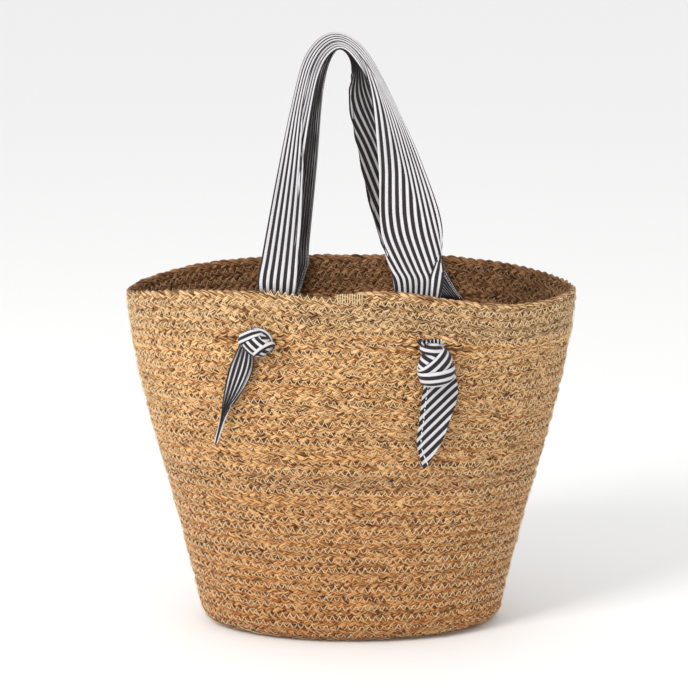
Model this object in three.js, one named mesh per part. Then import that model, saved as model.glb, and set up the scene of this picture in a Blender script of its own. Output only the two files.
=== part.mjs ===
// Woven market basket: a coiled, sewn jute-braid tote with two knotted cotton strip handles.
// Millimetres. +Z up, +X to the right, -Y to the front. The origin is the middle of the base's underside.
import * as THREE from 'three';
import { mergeVertices } from 'three/addons/utils/BufferGeometryUtils.js';

// Overall sizes of the basket
const RIM_WIDTH = 450;
const RIM_DEPTH = 254;
const RIM_HEIGHT = 355;
const BASE_WIDTH = 300;
const BASE_DEPTH = 196;

// The braid and how its courses lie
const WALL = 7;
const COURSE = 10;
const HEEL_RADIUS = 20;
const HEEL_TOP = 27;
const DARK_BAND_BOTTOM = 158;
const DARK_BAND_COURSES = 2;
const SIDE_BULGE = 7;
const FRONT_BULGE = 5;
const RIM_ROUND = 0.5;
const RIM_CORNER = 0.3;

// The soft rim dips at both narrow ends, and sags once at the front right
const END_DIP = 15;
const SAG = 15;
const SAG_ANGLE = THREE.MathUtils.degToRad(-48);
const SAG_SPREAD = THREE.MathUtils.degToRad(17);

// The slits: unsewn stretches of one seam, which the strips go through
const SLIT_BELOW_RIM = 44;
const SLIT_LENGTH = 72;

// The cotton strips, as folded and gathered, and how far a slit opens to let one through
const LOOP_THICK = 6;
const ROOT_THICK = 5;
const SLIT_CLEAR = 1.5;
const SLIT_OPEN = ROOT_THICK + 2 * SLIT_CLEAR;
const NECK_HALF_WIDTH = 15;
const HANDLE_RISE = 241;
const LOOP_START = 17;
const LOOP_INSET = 22;
const TOP_GAP = 4;
const KNOT_GAP = 1.5;

// Clearances between touching pieces
const GAP = 0.3;
const CLOTH_GAP = 1;
const ROOT_CLEAR = 2.5;

// Shares of the way from slit to rim where the inside strip is placed, and how much a tail thins to its tip
const ROOT_CLIMB = [0.3, 0.6, 0.85];
const TAIL_THINNING = 0.5;

// Each handle: side (-1 front, 1 rear), its two slits' places along X, and its loop's outline.
// An outline point is [x, share of the loop's height], from the left foot over the crown to the right foot,
// and a smooth curve runs through the points.
const HANDLES = [
  {
    name: 'front',
    side: -1,
    outer: [[-86, 0], [-74, 0.38], [-58, 0.72], [-44, 0.92], [-18, 1], [14, 0.91], [42, 0.7], [76, 0.35],
      [91, 0]],
    inner: [[-53, 0], [-44, 0.5], [-32, 0.82], [-14, 0.91], [8, 0.84], [22, 0.6], [25, 0.3], [37, 0]],
    ends: [
      { name: 'left', slitX: -92, knot: [17, 12, 14], drop: 0, lean: -22, tail: 92,
        tailHalfWidths: [6.5, 9, 8.5, 7.5, 5, 2.5], tailHalfThick: 4 },
      { name: 'right', slitX: 81, knot: [18, 13, 21], drop: 11, lean: -6, tail: 94,
        tailHalfWidths: [13, 19, 19.5, 16, 12, 3], tailHalfThick: 2 },
    ],
  },
  {
    name: 'rear',
    side: 1,
    outer: [[-82, 0], [-68, 0.4], [-54, 0.76], [-38, 0.92], [-14, 0.98], [14, 0.88], [48, 0.58], [80, 0.24],
      [95, 0]],
    inner: [[-43, 0], [-32, 0.45], [-26, 0.78], [-12, 0.88], [-2, 0.75], [6, 0.45], [29, 0]],
    ends: [
      { name: 'left', slitX: -72, knot: [18, 13, 18], drop: 7, lean: 8, tail: 90,
        tailHalfWidths: [12, 17, 18, 15, 11, 3], tailHalfThick: 2 },
      { name: 'right', slitX: 102, knot: [17, 12, 15], drop: 2, lean: 14, tail: 88,
        tailHalfWidths: [8, 11, 11, 9, 6, 2.5], tailHalfThick: 3 },
    ],
  },
];

// How finely the solids are faceted
const OVAL_STEPS = 48;
const SLIT_STEPS = 8;
const ARC_STEPS = 4;
const STRIP_SECTION_STEPS = 10;
const ROOT_STEPS = 12;
const EDGE_STEPS = 26;
const KNOT_ROUND_STEPS = 16;
const KNOT_HIGH_STEPS = 10;
const ANGLE_STEP = 0.01;
const SLIT_SPACING = 1.1;

const SLIT_HEIGHT = RIM_HEIGHT - SLIT_BELOW_RIM;
const DARK_BAND_TOP = DARK_BAND_BOTTOM + DARK_BAND_COURSES * COURSE;
const RIM_COURSE_BOTTOM = RIM_HEIGHT - COURSE;

const JUTE = { color: 0xc39a66, roughness: 0.9, metalness: 0 };
const DARK_JUTE = { color: 0xa1835a, roughness: 0.9, metalness: 0 };
const GREY_JUTE = { color: 0xb39468, roughness: 0.9, metalness: 0 };
const COTTON = { color: 0x9c99a0, roughness: 0.85, metalness: 0 };

const basket = new THREE.Group();

function addPiece(name, geometry, finish) {
  const mesh = new THREE.Mesh(geometry, new THREE.MeshStandardMaterial(finish));
  mesh.name = name;
  basket.add(mesh);
}

// ---- the basket's shape ----

// Half the width and half the depth of the outside, at a course height up the wall
function halfWidth(height) {
  const u = height / RIM_HEIGHT;
  return BASE_WIDTH / 2 + ((RIM_WIDTH - BASE_WIDTH) / 2) * u + SIDE_BULGE * Math.sin(Math.PI * u * u);
}

function halfDepth(height) {
  const u = height / RIM_HEIGHT;
  return BASE_DEPTH / 2 + ((RIM_DEPTH - BASE_DEPTH) / 2) * u + FRONT_BULGE * Math.sin(Math.PI * u * u);
}

// How far the rim lies below its full height at an angle round the oval
function rimDip(angle) {
  const away = Math.atan2(Math.sin(angle - SAG_ANGLE), Math.cos(angle - SAG_ANGLE)) / SAG_SPREAD;
  return END_DIP * Math.cos(angle) ** 4 + SAG * Math.exp((-away * away) / 2);
}

// A point of the wall: its angle, its course height and how far outside the outer face it is
function wallPoint(angle, height, out = 0) {
  const u = height / RIM_HEIGHT;
  return new THREE.Vector3(
    (halfWidth(height) + out) * Math.cos(angle),
    (halfDepth(height) + out) * Math.sin(angle),
    height - rimDip(angle) * u * u,
  );
}

// The angle where the wall at a course height has the given x, on the front (-1) or the rear (1)
function angleAt(x, side, height) {
  return side * Math.acos(x / halfWidth(height));
}

// The wall's level outward direction at an angle
function outward(angle, height) {
  const x = Math.cos(angle) / halfWidth(height);
  const y = Math.sin(angle) / halfDepth(height);
  return new THREE.Vector3(x, y, 0).normalize();
}

// The direction that a seam runs in at an angle, down where the rim sags
function seamDirection(angle, height) {
  return wallPoint(angle + ANGLE_STEP, height).sub(wallPoint(angle - ANGLE_STEP, height)).normalize();
}

const slits = HANDLES.flatMap(({ side, ends }) =>
  ends.map(({ slitX }) => ({ x: slitX, side, angle: angleAt(slitX, side, SLIT_HEIGHT) })));

// How far the seam is held open at an angle: widest in the middle of each slit
function slitOpening(angle) {
  const at = wallPoint(angle, SLIT_HEIGHT);
  for (const slit of slits) {
    const middle = wallPoint(slit.angle, SLIT_HEIGHT);
    const along = Math.hypot(at.x - middle.x, at.y - middle.y) / SLIT_LENGTH;
    if (along < 0.5) return (SLIT_OPEN / 2) * Math.cos(Math.PI * along);
  }
  return 0;
}

// Angles round the oval, closer together at the slits
function ovalAngles(withSlits) {
  const angles = Array.from({ length: OVAL_STEPS }, (_, i) => (i / OVAL_STEPS) * 2 * Math.PI);
  if (!withSlits) return angles;
  const reach = SLIT_LENGTH / 2 / halfWidth(SLIT_HEIGHT);
  const near = slits.map((slit) => THREE.MathUtils.euclideanModulo(slit.angle, 2 * Math.PI));
  const apart = reach * SLIT_SPACING;
  const kept = angles.filter((angle) => near.every((middle) => Math.abs(angle - middle) > apart));
  for (const middle of near) {
    for (let i = 0; i <= SLIT_STEPS; i += 1) kept.push(middle + reach * (2 * (i / SLIT_STEPS) - 1));
  }
  return kept.sort((a, b) => a - b);
}

// ---- solids from rings of points ----

// Skins a row of rings, each with as many points, joined end to end or closed by flat ends
function skin(rings, joined) {
  const around = rings[0].length;
  const points = rings.flat();
  const index = [];
  const turns = joined ? rings.length : rings.length - 1;
  for (let i = 0; i < turns; i += 1) {
    for (let j = 0; j < around; j += 1) {
      const a = i * around + j;
      const b = i * around + ((j + 1) % around);
      const c = ((i + 1) % rings.length) * around + j;
      const d = ((i + 1) % rings.length) * around + ((j + 1) % around);
      index.push(a, b, d, a, d, c);
    }
  }
  if (!joined) {
    const last = (rings.length - 1) * around;
    for (let j = 1; j < around - 1; j += 1) {
      index.push(0, j + 1, j);
      index.push(last, last + j, last + j + 1);
    }
  }
  const geometry = new THREE.BufferGeometry().setFromPoints(points);
  geometry.setIndex(index);
  return facingOut(geometry);
}

// Turns every face over if the solid came out inside out
function facingOut(geometry) {
  const at = geometry.getAttribute('position');
  const index = geometry.getIndex().array;
  const [a, b, c] = [new THREE.Vector3(), new THREE.Vector3(), new THREE.Vector3()];
  let volume = 0;
  for (let i = 0; i < index.length; i += 3) {
    a.fromBufferAttribute(at, index[i]);
    b.fromBufferAttribute(at, index[i + 1]);
    c.fromBufferAttribute(at, index[i + 2]);
    volume += a.dot(b.cross(c));
  }
  if (volume < 0) {
    for (let i = 0; i < index.length; i += 3) [index[i + 1], index[i + 2]] = [index[i + 2], index[i + 1]];
  }
  geometry.computeVertexNormals();
  return geometry;
}

// ---- the braid ----

// A closed ring of wall whose section is given, for each angle, as [course height, out] points
function wallRing(section, withSlits = false) {
  const rings = ovalAngles(withSlits).map((angle) =>
    section(angle).map(([height, out]) => wallPoint(angle, height, out)));
  return skin(rings, true);
}

// A stretch of wall from one course height to another, held open at the slit seam
function wallStretch(bottom, top) {
  const atSlit = bottom === SLIT_HEIGHT || top === SLIT_HEIGHT;
  const middle = (bottom + top) / 2;
  return wallRing((angle) => {
    const open = atSlit ? slitOpening(angle) : 0;
    const low = bottom + GAP / 2 + (bottom === SLIT_HEIGHT ? open : 0);
    const high = top - GAP / 2 - (top === SLIT_HEIGHT ? open : 0);
    return [[low, 0], [middle, 0], [high, 0], [high, -WALL], [middle, -WALL], [low, -WALL]];
  }, atSlit);
}

function baseCoil() {
  const outline = new THREE.Shape();
  const inset = HEEL_RADIUS + GAP;
  outline.absellipse(0, 0, BASE_WIDTH / 2 - inset, BASE_DEPTH / 2 - inset, 0, 2 * Math.PI);
  return new THREE.ExtrudeGeometry(outline, { depth: WALL, bevelEnabled: false, curveSegments: OVAL_STEPS });
}

// The quarter turn from the base up into the wall
function heelCourses() {
  const inner = HEEL_RADIUS - WALL;
  const turn = (radius) => Array.from({ length: ARC_STEPS + 1 }, (_, i) => {
    const swept = (i / ARC_STEPS) * (Math.PI / 2);
    return [HEEL_RADIUS - radius * Math.cos(swept), radius * Math.sin(swept) - HEEL_RADIUS];
  });
  const top = HEEL_TOP - GAP / 2;
  return wallRing(() => [...turn(HEEL_RADIUS), [top, 0], [top, -WALL], ...turn(inner).reverse()]);
}

// The last course, rounded over at the top
function rimCourse() {
  const low = RIM_COURSE_BOTTOM + GAP / 2;
  const round = WALL * RIM_ROUND;
  const corner = round * RIM_CORNER;
  return wallRing(() => [[low, 0], [RIM_HEIGHT - round, 0], [RIM_HEIGHT - corner, -corner],
    [RIM_HEIGHT, -round], [RIM_HEIGHT - corner, corner - WALL], [RIM_HEIGHT - round, -WALL], [low, -WALL]]);
}

addPiece('base_coil', baseCoil(), JUTE);
addPiece('heel_courses', heelCourses(), JUTE);
addPiece('lower_wall_courses', wallStretch(HEEL_TOP, DARK_BAND_BOTTOM), JUTE);
addPiece('dark_band_courses', wallStretch(DARK_BAND_BOTTOM, DARK_BAND_TOP), DARK_JUTE);
addPiece('upper_wall_courses', wallStretch(DARK_BAND_TOP, SLIT_HEIGHT), JUTE);
addPiece('shoulder_courses', wallStretch(SLIT_HEIGHT, RIM_COURSE_BOTTOM), GREY_JUTE);
addPiece('rim_course', rimCourse(), GREY_JUTE);

// ---- the cotton strips ----

const LOOP_FOOT_Z = RIM_HEIGHT + LOOP_START;
const LOOP_FOOT_Y = RIM_DEPTH / 2 - LOOP_INSET;
const LOOP_TOP_Z = RIM_HEIGHT + HANDLE_RISE;
const LOOP_TOP_Y = TOP_GAP / 2 + LOOP_THICK / 2;
const LOOP_LEAN = Math.atan2(LOOP_FOOT_Y - LOOP_TOP_Y, LOOP_TOP_Z - LOOP_FOOT_Z);
const LOOP_LENGTH = Math.hypot(LOOP_FOOT_Y - LOOP_TOP_Y, LOOP_TOP_Z - LOOP_FOOT_Z);

// A flattened round section about a point: wide along one direction, thick along the other
function stripSection(middle, wide, thick, halfWide, halfThick) {
  return Array.from({ length: STRIP_SECTION_STEPS }, (_, i) => {
    const turn = (i / STRIP_SECTION_STEPS) * 2 * Math.PI;
    return middle.clone()
      .addScaledVector(wide, halfWide * Math.cos(turn))
      .addScaledVector(thick, halfThick * Math.sin(turn));
  });
}

// The loop: a folded strip that faces the front, in a plane that leans in over the basket
function loopGeometry({ side, outer, inner }) {
  const edge = (points) => new THREE.SplineCurve(
    points.map(([x, share]) => new THREE.Vector2(x, share * LOOP_LENGTH))).getPoints(EDGE_STEPS);
  const outline = new THREE.Shape([...edge(outer), ...edge(inner).reverse()]);
  const geometry = new THREE.ExtrudeGeometry(outline, { depth: LOOP_THICK, bevelEnabled: false });
  geometry.translate(0, 0, -LOOP_THICK / 2);
  geometry.rotateX(Math.PI / 2 + side * LOOP_LEAN);
  geometry.translate(0, side * LOOP_FOOT_Y, LOOP_FOOT_Z);
  return geometry;
}

// The stretch of strip from the knot in through the slit and up inside the wall to the loop's foot
function rootGeometry({ side, outer, inner }, { name, slitX }) {
  const left = name === 'left';
  const feet = left ? [outer[0][0], inner[0][0]] : [inner.at(-1)[0], outer.at(-1)[0]];
  const footX = (feet[0] + feet[1]) / 2;
  const footHalfWidth = (feet[1] - feet[0]) / 2 - CLOTH_GAP;
  const angle = angleAt(slitX, side, SLIT_HEIGHT);
  const out = outward(angle, SLIT_HEIGHT);
  const half = ROOT_THICK / 2;
  const inside = -WALL - ROOT_CLEAR - half;
  const slit = wallPoint(angle, SLIT_HEIGHT);
  const stations = [
    slit.clone().addScaledVector(out, KNOT_GAP - GAP),
    slit.clone().addScaledVector(out, -WALL),
    slit.clone().addScaledVector(out, inside - half).add(new THREE.Vector3(0, 0, half)),
  ];
  for (const share of ROOT_CLIMB) {
    const height = SLIT_HEIGHT + share * SLIT_BELOW_RIM;
    const x = slitX + (footX - slitX) * share;
    stations.push(wallPoint(angleAt(x, side, height), height, inside - half * share));
  }
  const foot = new THREE.Vector3(footX, side * LOOP_FOOT_Y, LOOP_FOOT_Z);
  const upLoop = new THREE.Vector3(0, -side * Math.sin(LOOP_LEAN), Math.cos(LOOP_LEAN));
  stations.push(foot.clone().addScaledVector(upLoop, -LOOP_START / 2));
  stations.push(foot.clone().addScaledVector(upLoop, -GAP));
  const path = new THREE.CatmullRomCurve3(stations);
  const wideAtSlit = seamDirection(angle, SLIT_HEIGHT).multiplyScalar(-side);
  const rings = Array.from({ length: ROOT_STEPS + 1 }, (_, i) => {
    const share = i / ROOT_STEPS;
    const along = i < ROOT_STEPS ? path.getTangentAt(share) : upLoop.clone();
    const wide = wideAtSlit.clone().lerp(new THREE.Vector3(1, 0, 0), share * share);
    wide.addScaledVector(along, -wide.dot(along)).normalize();
    const thick = along.clone().cross(wide);
    const halfWide = THREE.MathUtils.lerp(NECK_HALF_WIDTH, footHalfWidth, share * share);
    return stripSection(path.getPointAt(share), wide, thick, halfWide, half);
  });
  return skin(rings, false);
}

// The knot: a lump of wrapped cloth pulled up against the wall, outside its slit
function knotPlace({ side }, { slitX, knot, drop }) {
  const angle = angleAt(slitX, side, SLIT_HEIGHT);
  const out = outward(angle, SLIT_HEIGHT);
  const middle = wallPoint(angle, SLIT_HEIGHT).addScaledVector(out, knot[1] + KNOT_GAP);
  middle.z -= drop;
  const across = new THREE.Vector3(0, 0, 1).cross(out);
  return { middle, out, across };
}

function knotGeometry(handle, end) {
  const { middle, out, across } = knotPlace(handle, end);
  const [halfAcross, halfOut, halfHigh] = end.knot;
  const geometry = new THREE.SphereGeometry(1, KNOT_ROUND_STEPS, KNOT_HIGH_STEPS);
  geometry.deleteAttribute('normal');
  geometry.deleteAttribute('uv');
  const lump = mergeVertices(geometry);
  lump.applyMatrix4(new THREE.Matrix4().makeBasis(
    across.clone().multiplyScalar(halfAcross),
    new THREE.Vector3(0, 0, halfHigh),
    out.clone().multiplyScalar(halfOut)));
  lump.translate(middle.x, middle.y, middle.z);
  return facingOut(lump);
}

// The tail: the strip's free end, hanging from the underside of its knot
function tailGeometry(handle, end) {
  const { middle, out, across } = knotPlace(handle, end);
  const lean = THREE.MathUtils.degToRad(end.lean);
  const down = new THREE.Vector3(Math.sin(lean), 0, -Math.cos(lean));
  const top = middle.clone().add(new THREE.Vector3(0, 0, -end.knot[2] - end.tailHalfThick - CLOTH_GAP));
  const flat = new THREE.Vector3(across.x, across.y, 0).multiplyScalar(-handle.side);
  const wide = flat.clone().addScaledVector(down, -flat.dot(down)).normalize();
  const last = end.tailHalfWidths.length - 1;
  const rings = end.tailHalfWidths.map((halfWide, i) => {
    const share = i / last;
    const halfThick = end.tailHalfThick * (1 - TAIL_THINNING * share);
    return stripSection(top.clone().addScaledVector(down, share * end.tail), wide, out, halfWide, halfThick);
  });
  return skin(rings, false);
}

for (const handle of HANDLES) {
  addPiece(`${handle.name}_handle_loop`, loopGeometry(handle), COTTON);
  for (const end of handle.ends) {
    addPiece(`${handle.name}_${end.name}_strap_root`, rootGeometry(handle, end), COTTON);
    addPiece(`${handle.name}_${end.name}_knot`, knotGeometry(handle, end), COTTON);
    addPiece(`${handle.name}_${end.name}_tail`, tailGeometry(handle, end), COTTON);
  }
}

export default basket;
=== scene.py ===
"""Looks of the woven market basket: plaited jute coil, zigzag sewing thread and knotted striped cotton strips."""
import math

import bpy
import numpy as np
from mathutils import Matrix, Vector


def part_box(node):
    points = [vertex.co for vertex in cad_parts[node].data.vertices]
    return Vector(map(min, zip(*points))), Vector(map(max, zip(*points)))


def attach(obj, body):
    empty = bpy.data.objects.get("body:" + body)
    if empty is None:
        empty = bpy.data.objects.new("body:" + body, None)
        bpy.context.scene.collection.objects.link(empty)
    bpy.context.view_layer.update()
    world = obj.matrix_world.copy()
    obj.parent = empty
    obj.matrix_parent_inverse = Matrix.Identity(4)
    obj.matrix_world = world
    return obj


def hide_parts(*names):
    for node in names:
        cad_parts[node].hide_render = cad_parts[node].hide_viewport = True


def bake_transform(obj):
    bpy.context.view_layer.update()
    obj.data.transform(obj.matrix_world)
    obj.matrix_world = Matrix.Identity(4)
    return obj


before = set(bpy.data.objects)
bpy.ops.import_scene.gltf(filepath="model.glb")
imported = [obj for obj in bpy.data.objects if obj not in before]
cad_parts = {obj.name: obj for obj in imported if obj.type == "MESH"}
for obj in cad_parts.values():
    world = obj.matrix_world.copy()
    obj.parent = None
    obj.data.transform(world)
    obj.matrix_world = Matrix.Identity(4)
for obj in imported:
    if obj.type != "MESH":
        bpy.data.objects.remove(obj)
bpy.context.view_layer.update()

MM = 0.001

# ---------------------------------------------------------------- sizes, in millimetres, as the CAD part has them
RIM_WIDTH, RIM_DEPTH, RIM_HEIGHT = 450.0, 254.0, 355.0
BASE_WIDTH, BASE_DEPTH = 300.0, 196.0
WALL = 7.0
HEEL_RADIUS, HEEL_TOP = 20.0, 27.0
SIDE_BULGE, FRONT_BULGE = 7.0, 5.0
END_DIP = 15.0
SAG, SAG_ANGLE, SAG_SPREAD = 15.0, math.radians(-48), math.radians(17)
RAISE, RAISE_ANGLE = 9.5, math.radians(-117)
RAISE_SPREAD_IN, RAISE_SPREAD_OUT = math.radians(13), math.radians(40)
COURSE = 10.0
DARK_BAND = (158.0, 178.0)
SLIT_BELOW_RIM, SLIT_LENGTH = 44.0, 72.0
SLIT_HEIGHT = RIM_HEIGHT - SLIT_BELOW_RIM
LOOP_START, LOOP_INSET, HANDLE_RISE = 17.0, 22.0, 241.0


def half_width(height):
    u = height / RIM_HEIGHT
    return BASE_WIDTH / 2 + (RIM_WIDTH - BASE_WIDTH) / 2 * u + SIDE_BULGE * np.sin(np.pi * u * u)


def half_depth(height):
    u = height / RIM_HEIGHT
    return BASE_DEPTH / 2 + (RIM_DEPTH - BASE_DEPTH) / 2 * u + FRONT_BULGE * np.sin(np.pi * u * u)


def rim_dip(angle):
    away = np.arctan2(np.sin(angle - SAG_ANGLE), np.cos(angle - SAG_ANGLE)) / SAG_SPREAD
    return END_DIP * np.cos(angle) ** 4 + SAG * np.exp(-away * away / 2)


def rim_raise(angle, height):
    """How far the top courses ride up at the front left, where the handle lifts them."""
    away = np.arctan2(np.sin(angle - RAISE_ANGLE), np.cos(angle - RAISE_ANGLE))
    spread = np.where(away > 0, RAISE_SPREAD_IN, RAISE_SPREAD_OUT)
    return RAISE * np.exp(-(away / spread) ** 2 / 2) * np.clip(height / RIM_HEIGHT, 0, 1.05) ** 10


# ---------------------------------------------------------------- camera, floor and light
CAMERA_DISTANCE = 2.6
CAMERA_HEIGHT = 0.79
LOOK_AT = Vector((-0.007, 0.0, 0.283))
PICTURE_WIDTH = 0.688


def make_camera():
    data = bpy.data.cameras.new("camera")
    data.sensor_width = 36
    place = Vector((LOOK_AT.x, -CAMERA_DISTANCE, CAMERA_HEIGHT))
    reach = (place - LOOK_AT).length
    data.lens = data.sensor_width * reach / PICTURE_WIDTH
    data.clip_end = 100
    camera = bpy.data.objects.new("camera", data)
    camera.location = place
    camera.rotation_euler = (LOOK_AT - place).to_track_quat("-Z", "Y").to_euler()
    bpy.context.scene.collection.objects.link(camera)
    bpy.context.scene.camera = camera


def add_light(name, place, target, size, power, colour):
    data = bpy.data.lights.new(name, "AREA")
    data.size = size
    data.energy = power
    data.color = colour
    light = bpy.data.objects.new(name, data)
    light.location = place
    light.rotation_euler = (Vector(target) - Vector(place)).to_track_quat("-Z", "Y").to_euler()
    bpy.context.scene.collection.objects.link(light)


def make_studio():
    mesh = bpy.data.meshes.new("floor")
    side = 40.0
    mesh.from_pydata([(-side, -side, 0), (side, -side, 0), (side, side, 0), (-side, side, 0)], [], [(0, 1, 2, 3)])
    floor = bpy.data.objects.new("floor", mesh)
    bpy.context.scene.collection.objects.link(floor)
    material = bpy.data.materials.new("pale_floor")
    material.use_nodes = True
    shader = material.node_tree.nodes["Principled BSDF"]
    shader.inputs["Base Color"].default_value = (0.90, 0.90, 0.90, 1)
    shader.inputs["Roughness"].default_value = 0.8
    mesh.materials.append(material)
    world = bpy.data.worlds.new("studio")
    world.use_nodes = True
    world.node_tree.nodes["Background"].inputs["Color"].default_value = (1, 1, 1, 1)
    world.node_tree.nodes["Background"].inputs["Strength"].default_value = 0.95
    bpy.context.scene.world = world
    bpy.context.scene.view_settings.view_transform = "Standard"
    add_light("key", (-1.7, -1.9, 2.1), (0, 0, 0.3), 1.0, 62, (1, 0.985, 0.96))
    add_light("fill", (2.0, -1.8, 1.4), (0, 0, 0.3), 1.6, 2, (0.97, 0.98, 1))


make_camera()
make_studio()


# ---------------------------------------------------------------- small helpers
def smooth_noise(count, step, seed):
    """A smooth random curve of count values, about -1 to 1, that wanders over step samples."""
    source = np.random.default_rng(seed)
    knots = source.uniform(-1, 1, int(count / step) + 4)
    at = np.arange(count) / step
    low = at.astype(int)
    part = at - low
    part = part * part * (3 - 2 * part)
    return knots[low] * (1 - part) + knots[low + 1] * part


def unit(vectors):
    return vectors / np.maximum(np.linalg.norm(vectors, axis=-1, keepdims=True), 1e-12)


def make_mesh(name, points, faces, uvs=None, values=None, smooth=True):
    """A mesh object in metres from arrays in millimetres. uvs has one pair for each face corner."""
    points = np.asarray(points, float) * MM
    faces = np.asarray(faces, np.int32)
    mesh = bpy.data.meshes.new(name)
    mesh.vertices.add(len(points))
    mesh.vertices.foreach_set("co", points.ravel())
    mesh.loops.add(faces.size)
    mesh.loops.foreach_set("vertex_index", faces.ravel())
    mesh.polygons.add(len(faces))
    mesh.polygons.foreach_set("loop_start", np.arange(0, faces.size, faces.shape[1], dtype=np.int32))
    mesh.polygons.foreach_set("use_smooth", np.full(len(faces), smooth))
    if uvs is not None:
        mesh.uv_layers.new(name="UVMap").data.foreach_set("uv", np.asarray(uvs, np.float32).ravel())
    for key, numbers in (values or {}).items():
        mesh.attributes.new(key, "FLOAT", "POINT").data.foreach_set("value", np.asarray(numbers, np.float32))
    mesh.update(calc_edges=True)
    mesh.validate()
    piece = bpy.data.objects.new(name, mesh)
    bpy.context.scene.collection.objects.link(piece)
    return piece


def tube_faces(rings, sides, closed_ends=True):
    """Quads of a tube whose points are rings x sides."""
    i, j = np.meshgrid(np.arange(rings - 1), np.arange(sides), indexing="ij")
    k = (j + 1) % sides
    quads = np.stack([i * sides + j, i * sides + k, (i + 1) * sides + k, (i + 1) * sides + j], -1)
    return quads.reshape(-1, 4)


# ---------------------------------------------------------------- the coil's surface
HEEL_BEND = HEEL_RADIUS - WALL / 2
HEEL_ARC = HEEL_BEND * math.pi / 2
TOP_REACH = HEEL_ARC + RIM_HEIGHT - HEEL_RADIUS


def reach_of(height):
    """How far along the section, from the edge of the flat base, a course height is."""
    return HEEL_ARC + height - HEEL_RADIUS


# Each strip end: the side of the basket, its slit's place along X, and its knot's half sizes across, out and up
ENDS = {
    "front_left": dict(side=-1, x=-92.0, knot=(17, 12, 14)),
    "front_right": dict(side=-1, x=81.0, knot=(18, 13, 21)),
    "rear_left": dict(side=1, x=-72.0, knot=(18, 13, 18)),
    "rear_right": dict(side=1, x=102.0, knot=(17, 12, 15)),
}


def surface(reach, angle):
    """The middle of the wall's thickness: reach runs from the base's flat edge, below 0 on the base."""
    reach, angle = np.broadcast_arrays(np.asarray(reach, float), np.asarray(angle, float))
    bend = np.clip(reach / HEEL_BEND, 0, math.pi / 2)
    flat = np.minimum(reach, 0)
    height = np.maximum(reach - HEEL_ARC, 0) + HEEL_RADIUS
    foot_w, foot_d = BASE_WIDTH / 2 - HEEL_RADIUS, BASE_DEPTH / 2 - HEEL_RADIUS
    low = HEEL_BEND * np.sin(bend)
    grown_w = half_width(height) - half_width(HEEL_RADIUS)
    grown_d = half_depth(height) - half_depth(HEEL_RADIUS)
    lean_w = (half_width(HEEL_RADIUS) - BASE_WIDTH / 2) * np.sin(bend)
    lean_d = (half_depth(HEEL_RADIUS) - BASE_DEPTH / 2) * np.sin(bend)
    wide = foot_w + flat + low + lean_w + grown_w
    deep = np.maximum(foot_d + flat, 0) + low + lean_d + grown_d
    u = height / RIM_HEIGHT
    low_z = HEEL_RADIUS - HEEL_BEND * np.cos(bend)
    z = np.where(reach > HEEL_ARC, height - rim_dip(angle) * u * u + rim_raise(angle, height), low_z)
    z = z - np.where(reach > HEEL_ARC, 0, rim_dip(angle) * (HEEL_RADIUS / RIM_HEIGHT) ** 2 * np.sin(bend))
    return np.stack([wide * np.cos(angle), deep * np.sin(angle), z], -1)


def frames(reach, angle):
    """Points of the surface with the directions across the course (up the wall) and outward."""
    step = 0.5
    middle = surface(reach, angle)
    across = unit(surface(reach + step, angle) - surface(reach - step, angle))
    along = unit(surface(reach, angle + 0.002) - surface(reach, angle - 0.002))
    out = unit(np.cross(along, across))
    return middle, across, out


# ---------------------------------------------------------------- the coil's path
# The coil starts a quarter course off the base's spine, so that its first two runs lie one course apart
SPINE = -(BASE_DEPTH / 2 - HEEL_RADIUS)
SPIRAL_START = SPINE + COURSE / 4
SPIRAL_END = TOP_REACH - COURSE / 2 + 3.0
END_ANGLE = -math.pi / 2 - 0.075
PATH_STEP = 1.85


def coil_path():
    """Evenly spaced points along the whole braid: how far up the section, and the angle, of each."""
    turns = (SPIRAL_END - SPIRAL_START) / COURSE
    total = turns * 2 * math.pi
    t = np.linspace(0, total, int(total * 400))
    reach = SPIRAL_START + COURSE * t / (2 * math.pi)
    angle = END_ANGLE + (total - t)
    points = surface(reach, angle)
    length = np.concatenate([[0], np.cumsum(np.linalg.norm(np.diff(points, axis=0), axis=1))])
    even = np.arange(0, length[-1], PATH_STEP)
    return np.interp(even, length, reach), np.interp(even, length, angle), even


path_reach, path_angle, path_length = coil_path()
print("braid length", round(path_length[-1] / 1000, 1), "m,", len(path_length), "steps")


# ---------------------------------------------------------------- materials
def new_material(name):
    material = bpy.data.materials.new(name)
    material.use_nodes = True
    tree = material.node_tree
    return material, tree, tree.nodes["Principled BSDF"]


def add_node(tree, kind, **settings):
    node = tree.nodes.new(kind)
    for key, value in settings.items():
        setattr(node, key, value)
    return node


def linked_noise(tree, vector, scale, detail=3.0, rough=0.55):
    noise = add_node(tree, "ShaderNodeTexNoise")
    noise.inputs["Scale"].default_value = scale
    noise.inputs["Detail"].default_value = detail
    noise.inputs["Roughness"].default_value = rough
    tree.links.new(vector, noise.inputs["Vector"])
    return noise.outputs["Fac"]


def maths(tree, operation, a, b=None, c=None):
    node = add_node(tree, "ShaderNodeMath", operation=operation)
    for socket, value in zip(node.inputs, (a, b, c)):
        if value is None:
            continue
        if isinstance(value, (int, float)):
            socket.default_value = value
        else:
            tree.links.new(value, socket)
    return node.outputs[0]


def ramp(tree, value, stops):
    node = add_node(tree, "ShaderNodeValToRGB")
    elements = node.color_ramp.elements
    while len(elements) < len(stops):
        elements.new(0.5)
    for element, (place, colour) in zip(elements, stops):
        element.position = place
        element.color = (*colour, 1)
    tree.links.new(value, node.inputs["Fac"])
    return node.outputs["Color"]


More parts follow.
